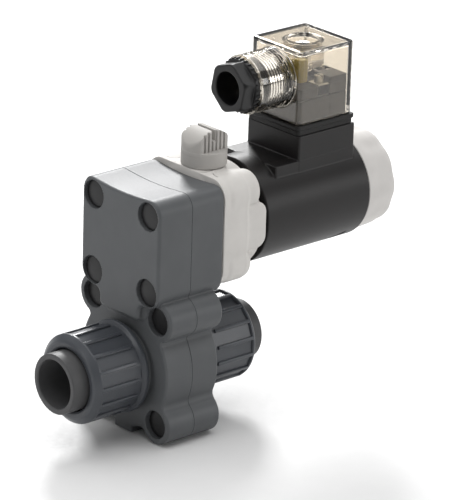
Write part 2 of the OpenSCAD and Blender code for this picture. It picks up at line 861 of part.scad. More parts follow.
module gland_seal() {
  color("#1d1d1d") on_entry(x_gland_hex_end + gland_screw_h + gland_washer_t + 2 * run_gap)
    tube(gland_ring_r, cable_r, gland_seal_t);
}

body_front();
body_rear();
body_seal();
bolt_covers();
block_bolts();
ear_bolts();
ear_inserts();
bonnet_inserts();
inlet_connector();
outlet_connector();
inlet_union_nut();
outlet_union_nut();
inlet_o_ring();
outlet_o_ring();
diaphragm();
guide_bush();
bonnet();
override_knob();
override_stem();
override_o_ring();
core_tube();
fixed_core();
shading_ring();
plunger();
seat_seal();
return_spring();
coil_housing();
coil_yoke();
coil_bobbin();
coil_winding();
coil_blades();
retaining_cap();
cap_washer();
plug_gasket();
plug_housing();
terminal_block();
terminal_clamps();
indicator_board();
fixing_screw();
gland_nut();
gland_seal();
gland_washer();
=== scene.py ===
import math

import bmesh
import bpy
import numpy as np
from mathutils import Matrix, Vector


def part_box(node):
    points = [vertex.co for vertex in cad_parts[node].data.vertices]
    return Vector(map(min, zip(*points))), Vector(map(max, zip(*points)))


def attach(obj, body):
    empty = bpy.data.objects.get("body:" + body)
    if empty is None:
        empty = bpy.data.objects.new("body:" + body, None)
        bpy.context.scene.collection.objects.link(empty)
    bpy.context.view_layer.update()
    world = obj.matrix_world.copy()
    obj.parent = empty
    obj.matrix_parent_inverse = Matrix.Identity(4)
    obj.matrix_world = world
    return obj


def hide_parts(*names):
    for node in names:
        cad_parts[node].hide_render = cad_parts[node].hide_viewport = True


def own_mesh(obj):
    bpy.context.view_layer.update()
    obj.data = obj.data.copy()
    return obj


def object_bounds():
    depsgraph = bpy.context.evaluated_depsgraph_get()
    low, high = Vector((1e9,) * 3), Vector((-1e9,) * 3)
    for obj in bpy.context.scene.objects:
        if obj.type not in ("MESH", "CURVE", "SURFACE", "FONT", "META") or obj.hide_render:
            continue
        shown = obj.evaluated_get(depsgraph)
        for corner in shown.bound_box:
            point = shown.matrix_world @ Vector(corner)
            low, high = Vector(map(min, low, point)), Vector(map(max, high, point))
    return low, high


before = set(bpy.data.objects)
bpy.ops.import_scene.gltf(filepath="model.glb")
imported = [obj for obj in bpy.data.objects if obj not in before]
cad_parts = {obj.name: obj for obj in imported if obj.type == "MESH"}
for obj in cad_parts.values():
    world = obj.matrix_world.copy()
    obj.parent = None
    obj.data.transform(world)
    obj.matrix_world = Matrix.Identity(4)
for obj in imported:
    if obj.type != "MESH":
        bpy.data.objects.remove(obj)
CAD_BOX = [list(corner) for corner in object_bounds()]
MM = 0.001


def box_mm(node):
    """Lowest and highest corner of a CAD node, in millimetres."""
    lo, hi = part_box(node)
    return [c / MM for c in lo], [c / MM for c in hi]


# ---------------------------------------------------------------- shape fields
# A field is a signed distance in millimetres, negative inside the material.

def slab(v, lo, hi):
    """Everything between two planes."""
    return np.maximum(lo - v, v - hi)


def disc(a, b, centre_a, centre_b, radius):
    """An endless cylinder."""
    return np.hypot(a - centre_a, b - centre_b) - radius


def rect(a, b, a0, a1, b0, b1, corner=0.0):
    """A rectangle with round corners."""
    qa = np.abs(a - (a0 + a1) / 2) - (a1 - a0) / 2 + corner
    qb = np.abs(b - (b0 + b1) / 2) - (b1 - b0) / 2 + corner
    outer = np.hypot(np.maximum(qa, 0), np.maximum(qb, 0))
    return outer + np.minimum(np.maximum(qa, qb), 0) - corner


def square(a, b, middle, half, corner=0.0):
    """A square with round corners about a middle."""
    return rect(a, b, middle[0] - half, middle[0] + half, middle[1] - half, middle[1] + half, corner)


def polygon(a, b, sides, across_corners, turn, corner=0.0):
    """A regular polygon round the origin, its first corner at angle turn."""
    flat = across_corners * math.cos(math.pi / sides) - corner
    angle = np.arctan2(b, a) - turn
    sector = 2 * math.pi / sides
    off = angle - sector * np.floor(angle / sector) - sector / 2
    radius = np.hypot(a, b)
    qx = radius * np.cos(off) - flat
    half = flat * math.tan(math.pi / sides)
    qy = np.abs(radius * np.sin(off)) - half
    return np.where(qy > 0, np.hypot(np.maximum(qx, 0), qy), qx) - corner


def join(a, b, fillet=0.0):
    """Both together, with a fillet in the corner between them."""
    if np.isscalar(fillet) and fillet <= 0:
        return np.minimum(a, b)
    ua, ub = np.maximum(fillet - a, 0), np.maximum(fillet - b, 0)
    return np.maximum(fillet, np.minimum(a, b)) - np.hypot(ua, ub)


def meet(a, b, edge=0.0):
    """What is in both, with its edges rounded."""
    if edge <= 0:
        return np.maximum(a, b)
    ua, ub = np.maximum(edge + a, 0), np.maximum(edge + b, 0)
    return np.minimum(-edge, np.maximum(a, b)) + np.hypot(ua, ub)


def cut(a, b, edge=0.0):
    """a without b, with the new edges rounded."""
    return meet(a, -b, edge)


SMALLEST_STEP = 0.02


def planes(lo, hi, cell, *fine):
    """Grid planes from lo to hi, closer together within each (middle, reach, cell) of fine."""
    spots = [lo]
    while spots[-1] < hi:
        here = spots[-1]
        steps = [small for middle, reach, small in fine if abs(here + small / 2 - middle) < reach]
        ahead = [middle - reach - here for middle, reach, small in fine if middle - reach > here]
        step = min(steps) if steps else min([cell] + [a for a in ahead if a > SMALLEST_STEP])
        spots.append(here + step)
    return np.array(spots)


def mesh_object(name, points, faces, normals=None):
    """A smooth-shaded object in the row frame from points in millimetres."""
    mesh = bpy.data.meshes.new(name)
    mesh.from_pydata(np.asarray(points) * MM, [], np.asarray(faces).tolist())
    mesh.polygons.foreach_set("use_smooth", np.ones(len(mesh.polygons), bool))
    if normals is not None:
        mesh.normals_split_custom_set_from_vertices(normals)
    piece = bpy.data.objects.new(name, mesh)
    bpy.context.scene.collection.objects.link(piece)
    return piece


def slope(field, p):
    """Unit normals of a field at points p."""
    h = 0.02
    parts = []
    for axis in range(3):
        step = np.zeros((3, 1))
        step[axis] = h
        parts.append(field(*(p + step)) - field(*(p - step)))
    g = np.array(parts) / (2 * h)
    return g / np.maximum(np.sqrt((g * g).sum(0)), 1e-6)


CELL_REACH = 0.7  # how far a point may leave its start, in cells
SETTLING_STEPS = 4


def skin(name, field, xs, ys, zs):
    """A closed mesh over the surface of a field: one point for each grid cell that the surface
    crosses, then moved onto the surface itself."""
    grid_planes = (xs, ys, zs)
    shape = tuple(len(p) for p in grid_planes)
    grid = np.broadcast_to(field(xs[:, None, None], ys[None, :, None], zs[None, None, :]), shape)
    inside = grid < 0
    cells = [n - 1 for n in shape]
    total = cells[0] * cells[1] * cells[2]
    count = np.zeros(total)
    place = np.zeros((3, total))
    walls = []
    for axis in range(3):
        b, c = (axis + 1) % 3, (axis + 2) % 3
        crossed = np.diff(inside, axis=axis)
        at = np.argwhere(crossed)
        at = at[(at[:, b] > 0) & (at[:, b] < cells[b]) & (at[:, c] > 0) & (at[:, c] < cells[c])]
        to = at.copy()
        to[:, axis] += 1
        d0, d1 = grid[tuple(at.T)], grid[tuple(to.T)]
        p = np.stack([grid_planes[k][at[:, k]] for k in range(3)])
        p[axis] += d0 / (d0 - d1) * (grid_planes[axis][to[:, axis]] - p[axis])
        ring = []
        for step_b, step_c in ((-1, -1), (0, -1), (0, 0), (-1, 0)):
            cell = at.copy()
            cell[:, b] += step_b
            cell[:, c] += step_c
            index = np.ravel_multi_index(cell.T, cells)
            ring.append(index)
            count += np.bincount(index, minlength=total)
            for k in range(3):
                place[k] += np.bincount(index, p[k], minlength=total)
        quads = np.stack(ring, 1)
        quads[d0 > 0] = quads[d0 > 0][:, ::-1]
        walls.append(quads)
    quads = np.concatenate(walls)
    used, faces = np.unique(quads, return_inverse=True)
    p = place[:, used] / count[used]
    start = p.copy()
    corner = np.unravel_index(used, cells)
    reach = CELL_REACH * np.array([np.diff(grid_planes[k])[corner[k]] for k in range(3)])
    for _ in range(SETTLING_STEPS):
        normal = slope(field, p)
        p = np.clip(p - normal * field(*p), start - reach, start + reach)
    return mesh_object(name, p.T, faces.reshape(quads.shape), slope(field, p).T)


# ---------------------------------------------------------------- turned pieces
LONGEST_BACK = 0.48  # share of a side that one rounded corner may use
NEEDLE, NEARLY_STRAIGHT = 0.05, 1.5  # half angles, in radians, past which a corner is left alone


def soften(outline, radii, steps=5):
    """A closed outline with its corners rounded, by one radius for each corner. A corner of
    radius 0 stays sharp."""
    points = [Vector(p) for p in outline]
    soft = []
    for i, here in enumerate(points):
        before, after = points[i - 1] - here, points[(i + 1) % len(points)] - here
        half = before.angle(after) / 2
        if radii[i] <= 0 or half < NEEDLE or half > NEARLY_STRAIGHT:
            soft.append(here)
            continue
        back = min(radii[i] / math.tan(half), LONGEST_BACK * before.length, LONGEST_BACK * after.length)
        real = back * math.tan(half)
        middle = here + (before.normalized() + after.normalized()).normalized() * real / math.sin(half)
        first = here + before.normalized() * back - middle
        last = here + after.normalized() * back - middle
        sweep = first.angle_signed(last)
        for k in range(steps + 1):
            spot = first.copy()
            spot.rotate(Matrix.Rotation(-sweep * k / steps, 2))
            soft.append(middle + spot)
    return soft


def turned(name, outline, centre=(0, 0, 0), segments=96, swell=None):
    """A closed outline of (along, radius) turned round an axis along X through centre.
    swell(along, radius, angle) gives a changed radius."""
    rings, n = [], len(outline)
    for k in range(segments):
        angle = 2 * math.pi * k / segments
        for along, radius in outline:
            r = swell(along, radius, angle) if swell else radius
            spot = (along, r * math.sin(angle), r * math.cos(angle))
            rings.append([centre[i] + spot[i] for i in range(3)])
    faces = []
    for k in range(segments):
        here, ahead = k * n, (k + 1) % segments * n
        faces += [[here + i, here + (i + 1) % n, ahead + (i + 1) % n, ahead + i] for i in range(n)]
    return tidy(mesh_object(name, rings, faces))


def tidy(piece):
    """Merges doubled points and turns every face outwards."""
    merge = 0.002 * MM
    shape = bmesh.new()
    shape.from_mesh(piece.data)
    bmesh.ops.remove_doubles(shape, verts=shape.verts, dist=merge)
    bmesh.ops.dissolve_degenerate(shape, edges=shape.edges, dist=merge)
    bmesh.ops.recalc_face_normals(shape, faces=shape.faces)
    shape.to_mesh(piece.data)
    shape.free()
    return piece


def sharpened(piece, angle=35):
    """Marks the edges steeper than angle sharp, so that flats stay flat."""
    piece.data.set_sharp_from_angle(angle=math.radians(angle))
    return piece


# ---------------------------------------------------------------- materials

def linear(code):
    """A colour from its sRGB hex value."""
    parts = [int(code[i:i + 2], 16) / 255 for i in (1, 3, 5)]
    return [c / 12.92 if c <= 0.04045 else ((c + 0.055) / 1.055) ** 2.4 for c in parts] + [1.0]


def add(tree, kind, settings=None, inputs=None):
    """Adds a node: its settings by name, its inputs by name or number, each a value or a socket."""
    node = tree.nodes.new(kind)
    for key, value in (settings or {}).items():
        setattr(node, key, value)
    for key, value in (inputs or {}).items():
        if isinstance(value, bpy.types.NodeSocket):
            tree.links.new(value, node.inputs[key])
        else:
            node.inputs[key].default_value = value
    return node


def finish_tree(material, shader):
    """Leads the shader to the surface."""
    out = add(material.node_tree, "ShaderNodeOutputMaterial")
    material.node_tree.links.new(shader, out.inputs["Surface"])
    return material


def blank(name):
    """A material with an empty node tree."""
    material = bpy.data.materials.new(name)
    material.use_nodes = True
    material.node_tree.nodes.clear()
    return material


def moulded(name, colour, darker, roughness, grain_mm=0.35, bump_mm=0.02, ior=1.5, cloud_mm=14.0,
            gloss=0.5):
    """A moulded plastic or rubber: slow cloudiness in the colour, fine texture in the gloss and
    in the relief. grain_mm is the size of the mould's texture."""
    material = blank(name)
    tree = material.node_tree
    where = add(tree, "ShaderNodeTexCoord").outputs["Object"]
    cloud = add(tree, "ShaderNodeTexNoise", inputs={
        "Vector": where, "Scale": 1 / (cloud_mm * MM), "Detail": 3.0, "Roughness": 0.55})
    grain = add(tree, "ShaderNodeTexNoise", inputs={
        "Vector": where, "Scale": 1 / (grain_mm * MM), "Detail": 2.0, "Roughness": 0.6})
    tone = add(tree, "ShaderNodeMapRange", inputs={
        "Value": cloud.outputs["Fac"], "From Min": 0.3, "From Max": 0.7})
    mix = add(tree, "ShaderNodeMix", {"data_type": "RGBA"}, {
        "Factor": tone.outputs["Result"], 6: linear(darker), 7: linear(colour)})
    gloss_map = add(tree, "ShaderNodeMapRange", inputs={
        "Value": grain.outputs["Fac"], "From Min": 0.3, "From Max": 0.7,
        "To Min": roughness - 0.05, "To Max": roughness + 0.05})
    relief = add(tree, "ShaderNodeBump", inputs={
        "Strength": 0.5, "Distance": bump_mm * MM, "Height": grain.outputs["Fac"]})
    shader = add(tree, "ShaderNodeBsdfPrincipled", inputs={
        "Base Color": mix.outputs[2], "Roughness": gloss_map.outputs["Result"],
        "Normal": relief.outputs["Normal"], "IOR": ior, "Specular IOR Level": gloss})
    return finish_tree(material, shader.outputs[0])


def metal(name, colour, darker, roughness, lines_mm=0.2, axis=(1.0, 1.0, 8.0)):
    """A turned or drawn metal: fine lines left by the tool, across axis, in its gloss and relief."""
    material = blank(name)
    tree = material.node_tree
    where = add(tree, "ShaderNodeTexCoord").outputs["Object"]
    stretched = add(tree, "ShaderNodeMapping", inputs={"Vector": where, "Scale": axis})
    lines = add(tree, "ShaderNodeTexNoise", inputs={
        "Vector": stretched.outputs["Vector"], "Scale": 1 / (8 * lines_mm * MM), "Detail": 4.0})
    mix = add(tree, "ShaderNodeMix", {"data_type": "RGBA"}, {
        "Factor": lines.outputs["Fac"], 6: linear(darker), 7: linear(colour)})
    gloss = add(tree, "ShaderNodeMapRange", inputs={
        "Value": lines.outputs["Fac"], "To Min": roughness - 0.08, "To Max": roughness + 0.08})
    relief = add(tree, "ShaderNodeBump", inputs={
        "Strength": 0.3, "Distance": 0.01 * MM, "Height": lines.outputs["Fac"]})
    shader = add(tree, "ShaderNodeBsdfPrincipled", inputs={
        "Base Color": mix.outputs[2], "Metallic": 1.0, "Roughness": gloss.outputs["Result"],
        "Normal": relief.outputs["Normal"]})
    return finish_tree(material, shader.outputs[0])


RIPPLE_MM = 3.0


def clear(name, colour, roughness, ior):
    """A clear moulding: tinted where light passes through, with a trace of ripple in its gloss."""
    material = blank(name)
    tree = material.node_tree
    where = add(tree, "ShaderNodeTexCoord").outputs["Object"]
    ripple = add(tree, "ShaderNodeTexNoise", inputs={
        "Vector": where, "Scale": 1 / (RIPPLE_MM * MM), "Detail": 1.0})
    relief = add(tree, "ShaderNodeBump", inputs={
        "Strength": 0.25, "Distance": 0.02 * MM, "Height": ripple.outputs["Fac"]})
    shader = add(tree, "ShaderNodeBsdfPrincipled", inputs={
        "Base Color": linear(colour), "Roughness": roughness, "IOR": ior,
        "Transmission Weight": 1.0, "Normal": relief.outputs["Normal"]})
    return finish_tree(material, shader.outputs[0])


# Grey PVC-U, injection moulded against a lightly textured tool: satin, almost no cloudiness.
GREY_PVC = moulded("grey_pvc_moulded", "#56585a", "#515355", 0.45, gloss=0.3)
# The union nuts' PVC is darker and bluer, and smoother from a polished tool.
NUT_PVC = moulded("dark_pvc_moulded", "#43464b", "#3d4045", 0.36, bump_mm=0.012, gloss=0.45)
# The end connectors' PVC is turned smooth by the mould's core.
PIPE_PVC = moulded("pipe_pvc_moulded", "#4d4d4e", "#484849", 0.5, bump_mm=0.012, gloss=0.3)
# Polyethylene covers: nearly black and soft in gloss.
COVER_PLASTIC = moulded("cover_polyethylene", "#1a1a1b", "#161617", 0.42, ior=1.51, gloss=0.35)
# Glass-filled nylon, light grey: matt with a faint mottling from the fibres.
BONNET_NYLON = moulded("light_grey_nylon_moulded", "#cfccc8", "#c8c5c1", 0.62, cloud_mm=8.0, ior=1.53,
                       gloss=0.35)
# The cap's nylon is the same, a trace darker.
CAP_NYLON = moulded("cap_nylon_moulded", "#cbc8c5", "#c5c2bf", 0.62, cloud_mm=8.0, ior=1.53, gloss=0.35)
# The knob's nylon is a shade darker, and handled smooth.
KNOB_NYLON = moulded("knob_nylon_moulded", "#b3b0ac", "#aca9a5", 0.6, ior=1.53, gloss=0.3)
# Epoxy-cast coil: a black, slightly warm skin with a silky gloss.
COIL_RESIN = moulded("coil_epoxy_cast", "#1b1919", "#181616", 0.42, ior=1.55, gloss=0.26)
# Nitrile rubber, pressed: dark and dull. The gasket's is smoother, so it takes a low sheen.
BLACK_RUBBER = moulded("nitrile_rubber_pressed", "#151514", "#111110", 0.6, ior=1.52)
GASKET_RUBBER = moulded("gasket_rubber_pressed", "#121110", "#0f0e0d", 0.55, ior=1.52, gloss=0.3)
# Polyamide of the gland nut: black and satin.
GLAND_NYLON = moulded("gland_polyamide_moulded", "#0c0c0d", "#0a0a0b", 0.4, ior=1.53, gloss=0.35)
# Nylon of the terminal block: grey-brown and satin. The natural nylon inside is cream.
TERMINAL_NYLON = moulded("terminal_nylon_moulded", "#4a4642", "#44403c", 0.5, ior=1.53)
NATURAL_NYLON = moulded("natural_nylon_turned", "#dcd7ca", "#d2ccbd", 0.45, ior=1.53)
# Translucent lamp body of the indicator: straw yellow.
INDICATOR_PLASTIC = moulded("indicator_plastic_moulded", "#c3b13f", "#ab9834", 0.3)
# Polycarbonate: clear with a trace of straw, glossy from a polished tool.
CLEAR_PLASTIC = clear("polycarbonate_clear", "#e4ddd1", 0.05, 1.585)
# Metals: turned, ground or stamped, so their gloss is drawn out in fine lines. The enamel on the
# winding's copper makes it deep orange.
STAINLESS = metal("stainless_steel_turned", "#c9cacb", "#b3b5b7", 0.28)
CORE_STEEL = metal("magnetic_steel_ground", "#b9bbbd", "#a3a5a8", 0.32)
BRASS = metal("brass_turned", "#c9a452", "#b28c3c", 0.3)
TINNED = metal("tinned_brass_stamped", "#cfccc4", "#b9b5aa", 0.35)
COPPER = metal("copper_wire_enamelled", "#b5652c", "#8d4a1e", 0.3, axis=(8.0, 1.0, 1.0))

NODE_FINISHES = {
    GREY_PVC: ["body_front", "body_rear"],
    BLACK_RUBBER: ["body_seal", "inlet_o_ring", "outlet_o_ring", "override_o_ring", "diaphragm",
                   "seat_seal", "cap_washer", "gland_seal"],
    COVER_PLASTIC: ["bolt_covers"],
    STAINLESS: ["block_bolts", "ear_bolts", "core_tube", "return_spring", "fixing_screw", "gland_washer"],
    BRASS: ["ear_inserts", "bonnet_inserts", "override_stem"],
    PIPE_PVC: ["inlet_connector", "outlet_connector"],
    NUT_PVC: ["inlet_union_nut", "outlet_union_nut"],
    NATURAL_NYLON: ["guide_bush", "coil_bobbin"],
    BONNET_NYLON: ["bonnet"],
    KNOB_NYLON: ["override_knob"],
    CAP_NYLON: ["retaining_cap"],
    CORE_STEEL: ["fixed_core", "plunger", "coil_yoke"],
    COPPER: ["shading_ring", "coil_winding"],
    COIL_RESIN: ["coil_housing"],
    TINNED: ["coil_blades", "terminal_clamps"],
    GASKET_RUBBER: ["plug_gasket"],
    CLEAR_PLASTIC: ["plug_housing"],
    TERMINAL_NYLON: ["terminal_block"],
    INDICATOR_PLASTIC: ["indicator_board"],
    GLAND_NYLON: ["gland_nut"],
}
FINISH_OF = {node: finish for finish, nodes in NODE_FINISHES.items() for node in nodes}
for node, finish in FINISH_OF.items():
    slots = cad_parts[node].data.materials
    slots.clear()
    slots.append(finish)


def settle(piece, node, body):
    """Gives a finished piece its material and its body, in place of a CAD node."""
    piece.data.materials.clear()
    piece.data.materials.append(FINISH_OF[node])
    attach(piece, body)
    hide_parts(node)
    return piece


# ---------------------------------------------------------------- repeated units

def geometry_tree(name, wanted):
    """A geometry tree with the named inputs of wanted, and its input node."""
    tree = bpy.data.node_groups.new(name, "GeometryNodeTree")
    tree.interface.new_socket("Geometry", in_out="INPUT", socket_type="NodeSocketGeometry")
    for label, kind in wanted:
        tree.interface.new_socket(label, in_out="INPUT", socket_type="NodeSocket" + kind)
    tree.interface.new_socket("Geometry", in_out="OUTPUT", socket_type="NodeSocketGeometry")
    return tree, add(tree, "NodeGroupInput").outputs


def close_tree(tree, geometry, material):
    real = add(tree, "GeometryNodeRealizeInstances", inputs={"Geometry": geometry})
    painted = add(tree, "GeometryNodeSetMaterial", inputs={
        "Geometry": real.outputs["Geometry"], "Material": material})
    add(tree, "NodeGroupOutput", inputs={"Geometry": painted.outputs["Geometry"]})
    return tree


def ring_tree():
    """The geometry that comes in, with Count units round an axis along X through Middle."""
    tree, given = geometry_tree("units_round_an_axis", [
        ("Unit", "Object"), ("Count", "Int"), ("First Angle", "Float"), ("Middle", "Vector"),
        ("Material", "Material")])
    unit = add(tree, "GeometryNodeObjectInfo", inputs={"Object": given["Unit"]})
    spots = add(tree, "GeometryNodeMeshLine", inputs={
        "Count": given["Count"], "Start Location": given["Middle"], "Offset": (0, 0, 0)})
    index = add(tree, "GeometryNodeInputIndex")
    share = add(tree, "ShaderNodeMath", {"operation": "DIVIDE"}, {0: index.outputs[0], 1: given["Count"]})
    turn = add(tree, "ShaderNodeMath", {"operation": "MULTIPLY_ADD"}, {
        0: share.outputs[0], 1: 2 * math.pi, 2: given["First Angle"]})
    spin = add(tree, "ShaderNodeCombineXYZ", inputs={"X": turn.outputs[0]})
    rotation = add(tree, "FunctionNodeEulerToRotation", inputs={0: spin.outputs[0]})
    units = add(tree, "GeometryNodeInstanceOnPoints", inputs={
        "Points": spots.outputs["Mesh"], "Instance": unit.outputs["Geometry"],
        "Rotation": rotation.outputs[0]})
    both = add(tree, "GeometryNodeJoinGeometry", inputs={"Geometry": units.outputs["Instances"]})
    tree.links.new(given["Geometry"], both.inputs["Geometry"])
    return close_tree(tree, both.outputs["Geometry"], given["Material"])


def places_tree():
    """A unit at each point of the geometry that comes in."""
    tree, given = geometry_tree("unit_at_places", [
        ("Unit", "Object"), ("Size", "Float"), ("Material", "Material")])
    unit = add(tree, "GeometryNodeObjectInfo", inputs={"Object": given["Unit"]})
    units = add(tree, "GeometryNodeInstanceOnPoints", inputs={
        "Points": given["Geometry"], "Instance": unit.outputs["Geometry"], "Scale": given["Size"]})
    return close_tree(tree, units.outputs["Instances"], given["Material"])


RING = ring_tree()
PLACES = places_tree()


def grown(base, tree, unit, **values):
    """Runs a tree on a base object and returns the result as a plain piece. The unit goes away."""
    modifier = base.modifiers.new("units", "NODES")
    modifier.node_group = tree
    sockets = {item.name: item.identifier for item in tree.interface.items_tree if item.in_out == "INPUT"}
    modifier[sockets["Unit"]] = unit
    for label, value in values.items():
        modifier[sockets[label.replace("_", " ")]] = value
    bpy.context.view_layer.update()
    ready = base.evaluated_get(bpy.context.evaluated_depsgraph_get())
    mesh = bpy.data.meshes.new_from_object(ready)
    name = base.name
    for spent in (base, unit):
        bpy.data.objects.remove(spent)
    piece = bpy.data.objects.new(name, mesh)
    bpy.context.scene.collection.objects.link(piece)
    return piece


def bar(name, outline, half, edge, segments=3):
    """A bar: an outline of (x, z) given a thickness along y, with rounded edges."""
    shape = bmesh.new()
    low = [shape.verts.new((x * MM, -half * MM, z * MM)) for x, z in outline]
    face = shape.faces.new(low)
    moved = bmesh.ops.extrude_face_region(shape, geom=[face])
    bmesh.ops.translate(shape, vec=(0, 2 * half * MM, 0),
                        verts=[v for v in moved["geom"] if isinstance(v, bmesh.types.BMVert)])
    bmesh.ops.recalc_face_normals(shape, faces=shape.faces)
    bmesh.ops.bevel(shape, geom=shape.edges[:], offset=edge * MM, segments=segments, profile=0.5,
                    affect="EDGES", clamp_overlap=True)
    mesh = bpy.data.meshes.new(name)
    shape.to_mesh(mesh)
    shape.free()
    mesh.polygons.foreach_set("use_smooth", np.ones(len(mesh.polygons), bool))
    piece = bpy.data.objects.new(name, mesh)
    bpy.context.scene.collection.objects.link(piece)
    return sharpened(piece, 50)


def points_at(name, places):
    mesh = bpy.data.meshes.new(name)
    mesh.from_pydata([[c * MM for c in place] for place in places], [], [])
    piece = bpy.data.objects.new(name, mesh)
    bpy.context.scene.collection.objects.link(piece)
    return piece


# ---------------------------------------------------------------- the body halves
# Sizes in millimetres, as the frame has them. s is a distance along the pipe from the joint face.
# The last number given to rect, join, meet and cut is the radius of a corner, a fillet or an edge.
SIDES = (-1, 1)
JOINT_X = 49.5
BLOCK_HALF = 23.4
BLOCK_TOP = box_mm("body_front")[1][2]
BLOCK_FOOT = 29.4
BLOCK_T = 17.0
BLOCK_CORNER = 7
CROWN_DIP = 1.6
WAIST = (-12, 12, 22.5, 40)
DISC_T = 13.5
DISC_R = 26.0
EAR_R = 8.3
EAR_Y = 19.6
EAR_ZS = (-20.0, 23.8)
FOOT = (-5.2, 5.2, -28.3, 0)
BOLT_Y = 16.4
BOLT_ZS = (35.7, 67.6)
POCKET_R = 5.8
BLOCK_POCKET = 2.8
EAR_POCKET = 3.3
BLOCK_COVER_SUNK = 1.1
EAR_COVER_SUNK = 1.6
PIPE_BOSS_R = 16.3
PIPE_BOSS_S = 26.2
PIPE_BORE_R = 7.5
COIL_Z = 53.0
PASSAGE_S = 7.0
PASSAGE_R = 4.5
SEAT_R = 9
SEAT_RISE = 6
SEAT_BORE_R = 6
SEAT_HOLE_R = 9.1
CHAMBER_R = 14.5
CHAMBER_S = 3
DIAPHRAGM_R = 18.1
DIAPHRAGM_S = 15.2
BODY_CELL = 0.45


def half_outlines(y, z):
    """The two outlines of a body half: the upper block, and the round part with its ears."""
    chord = BLOCK_HALF - BLOCK_CORNER
    hollow = (chord ** 2 + CROWN_DIP ** 2) / (2 * CROWN_DIP)
    block = rect(y, z, -BLOCK_HALF, BLOCK_HALF, BLOCK_FOOT, BLOCK_TOP, BLOCK_CORNER)
    block = cut(block, disc(y, z, 0, BLOCK_TOP - CROWN_DIP + hollow, hollow), 3)
    block = join(block, rect(y, z, *WAIST, 2), 3)
    round_part = join(disc(y, z, 0, 0, DISC_R), rect(y, z, -EAR_Y, EAR_Y, 0, BLOCK_FOOT + 1), 2)
    for side in SIDES:
        for ear_z in EAR_ZS:
            round_part = join(round_part, disc(y, z, side * EAR_Y, ear_z, EAR_R), 2.5)
    return block, join(round_part, rect(y, z, *FOOT, 0.6), 1)


def half_field(s, y, z):
    """A body half before its bores, s being the distance from the joint face."""
    block, round_part = half_outlines(y, z)
    block = meet(block, s - BLOCK_T, 1.3)
    round_part = meet(round_part, s - DISC_T, 0.9)
    neck_blend = 1.0 + 2.2 * np.clip((14 - np.abs(y)) / 4, 0, 1)
    body = join(block, round_part, neck_blend)
    pipe_boss = meet(disc(y, z, 0, 0, PIPE_BOSS_R), s - PIPE_BOSS_S, 0.5)
    body = join(body, pipe_boss, 0.8)
    body = meet(body, -s, 0.28)
    return cut(body, np.maximum(disc(y, z, 0, 0, PIPE_BORE_R), PASSAGE_S - s), 0.4)


def pockets(body, s, y, z):
    """Sinks the round pockets of the bolt covers."""
    for side in SIDES:
        for bolt_z in BOLT_ZS:
            hole = disc(y, z, side * BOLT_Y, bolt_z, POCKET_R)
            body = cut(body, np.maximum(hole, BLOCK_T - BLOCK_POCKET - s), 0.18)
        for ear_z in EAR_ZS:
            hole = disc(y, z, side * EAR_Y, ear_z, POCKET_R)
            body = cut(body, np.maximum(hole, DISC_T - EAR_POCKET - s), 0.18)
    return body


def front_field(x, y, z):
    """The inlet half: its cover pockets, the seat that stands into the rear half, the passage."""
    s = JOINT_X - x
    body = pockets(half_field(s, y, z), s, y, z)
    seat = meet(disc(y, z, 0, COIL_Z, SEAT_R), slab(-s, -2, SEAT_RISE), 0.4)
    body = join(body, seat)
    body = cut(body, np.maximum(disc(s, y, PASSAGE_S, 0, PASSAGE_R), slab(z, 0, COIL_Z + PASSAGE_R)), 0.3)
    return cut(body, np.maximum(disc(y, z, 0, COIL_Z, SEAT_BORE_R), s - PASSAGE_S), 0.3)


def rear_field(x, y, z):
    """The outlet half: the passage, the seat's hole, the chamber and the diaphragm's recess."""
    s = x - JOINT_X
    passage = np.maximum(disc(s, y, PASSAGE_S, 0, PASSAGE_R), slab(z, 0, COIL_Z))
    body = cut(half_field(s, y, z), passage, 0.3)
    body = cut(body, disc(y, z, 0, COIL_Z, SEAT_HOLE_R), 0.2)
    body = cut(body, np.maximum(disc(y, z, 0, COIL_Z, CHAMBER_R), CHAMBER_S - s), 0.3)
    return cut(body, np.maximum(disc(y, z, 0, COIL_Z, DIAPHRAGM_R), DIAPHRAGM_S - s), 0.2)


def make_body():
    """Both halves. The grid is finer where a face meets its edges."""
    ys, zs = planes(-29.2, 29.2, BODY_CELL), planes(-29.6, 76.4, BODY_CELL)
    steps = [(0, 0.6, 0.14), (BLOCK_T, 1.6, 0.4), (DISC_T, 1.6, 0.4)]
    ahead = [(JOINT_X + s, reach, cell) for s, reach, cell in steps]
    behind = [(JOINT_X - s, reach, cell) for s, reach, cell in reversed(steps)]
    front_xs = planes(JOINT_X - 27.4, JOINT_X + 7.2, 2 * BODY_CELL, *behind)
    rear_xs = planes(JOINT_X - 0.9, JOINT_X + 27.4, 2 * BODY_CELL, *ahead)
    front = skin("body_front_moulding", front_field, front_xs, ys, zs)
    rear = skin("body_rear_moulding", rear_field, rear_xs, ys, zs)
    settle(front, "body_front", "valve")
    settle(rear, "body_rear", "valve")


def make_bolt_covers():
    """Eight round covers, slightly domed, a little below their faces."""
    outline = [(1.6, 0.0), (1.6, 5.7), (0.6, 5.7), (0.35, 5.3), (0.2, 4.2), (0.1, 2.8), (0.04, 1.4),
               (0.0, 0.0)]
    unit = turned("cover_unit", soften(outline, [0, 0, 0.3, 0.2, 0.4, 0.4, 0.4, 0]), segments=48)
    places = [(JOINT_X - BLOCK_T + BLOCK_COVER_SUNK, side * BOLT_Y, z) for side in SIDES for z in BOLT_ZS]
    places += [(JOINT_X - DISC_T + EAR_COVER_SUNK, side * EAR_Y, z) for side in SIDES for z in EAR_ZS]
    covers = grown(points_at("bolt_cover_discs", places), PLACES, unit, Size=1.0, Material=COVER_PLASTIC)
    settle(covers, "bolt_covers", "valve")


# ---------------------------------------------------------------- the pipe ends
NUT_S = 16
GRIP_R = 17.7
RIB_TOP_R = 18.4
RIBS = 16
RIB_SPAN = (5.0, 24.0)
RIB_HALF = 0.8


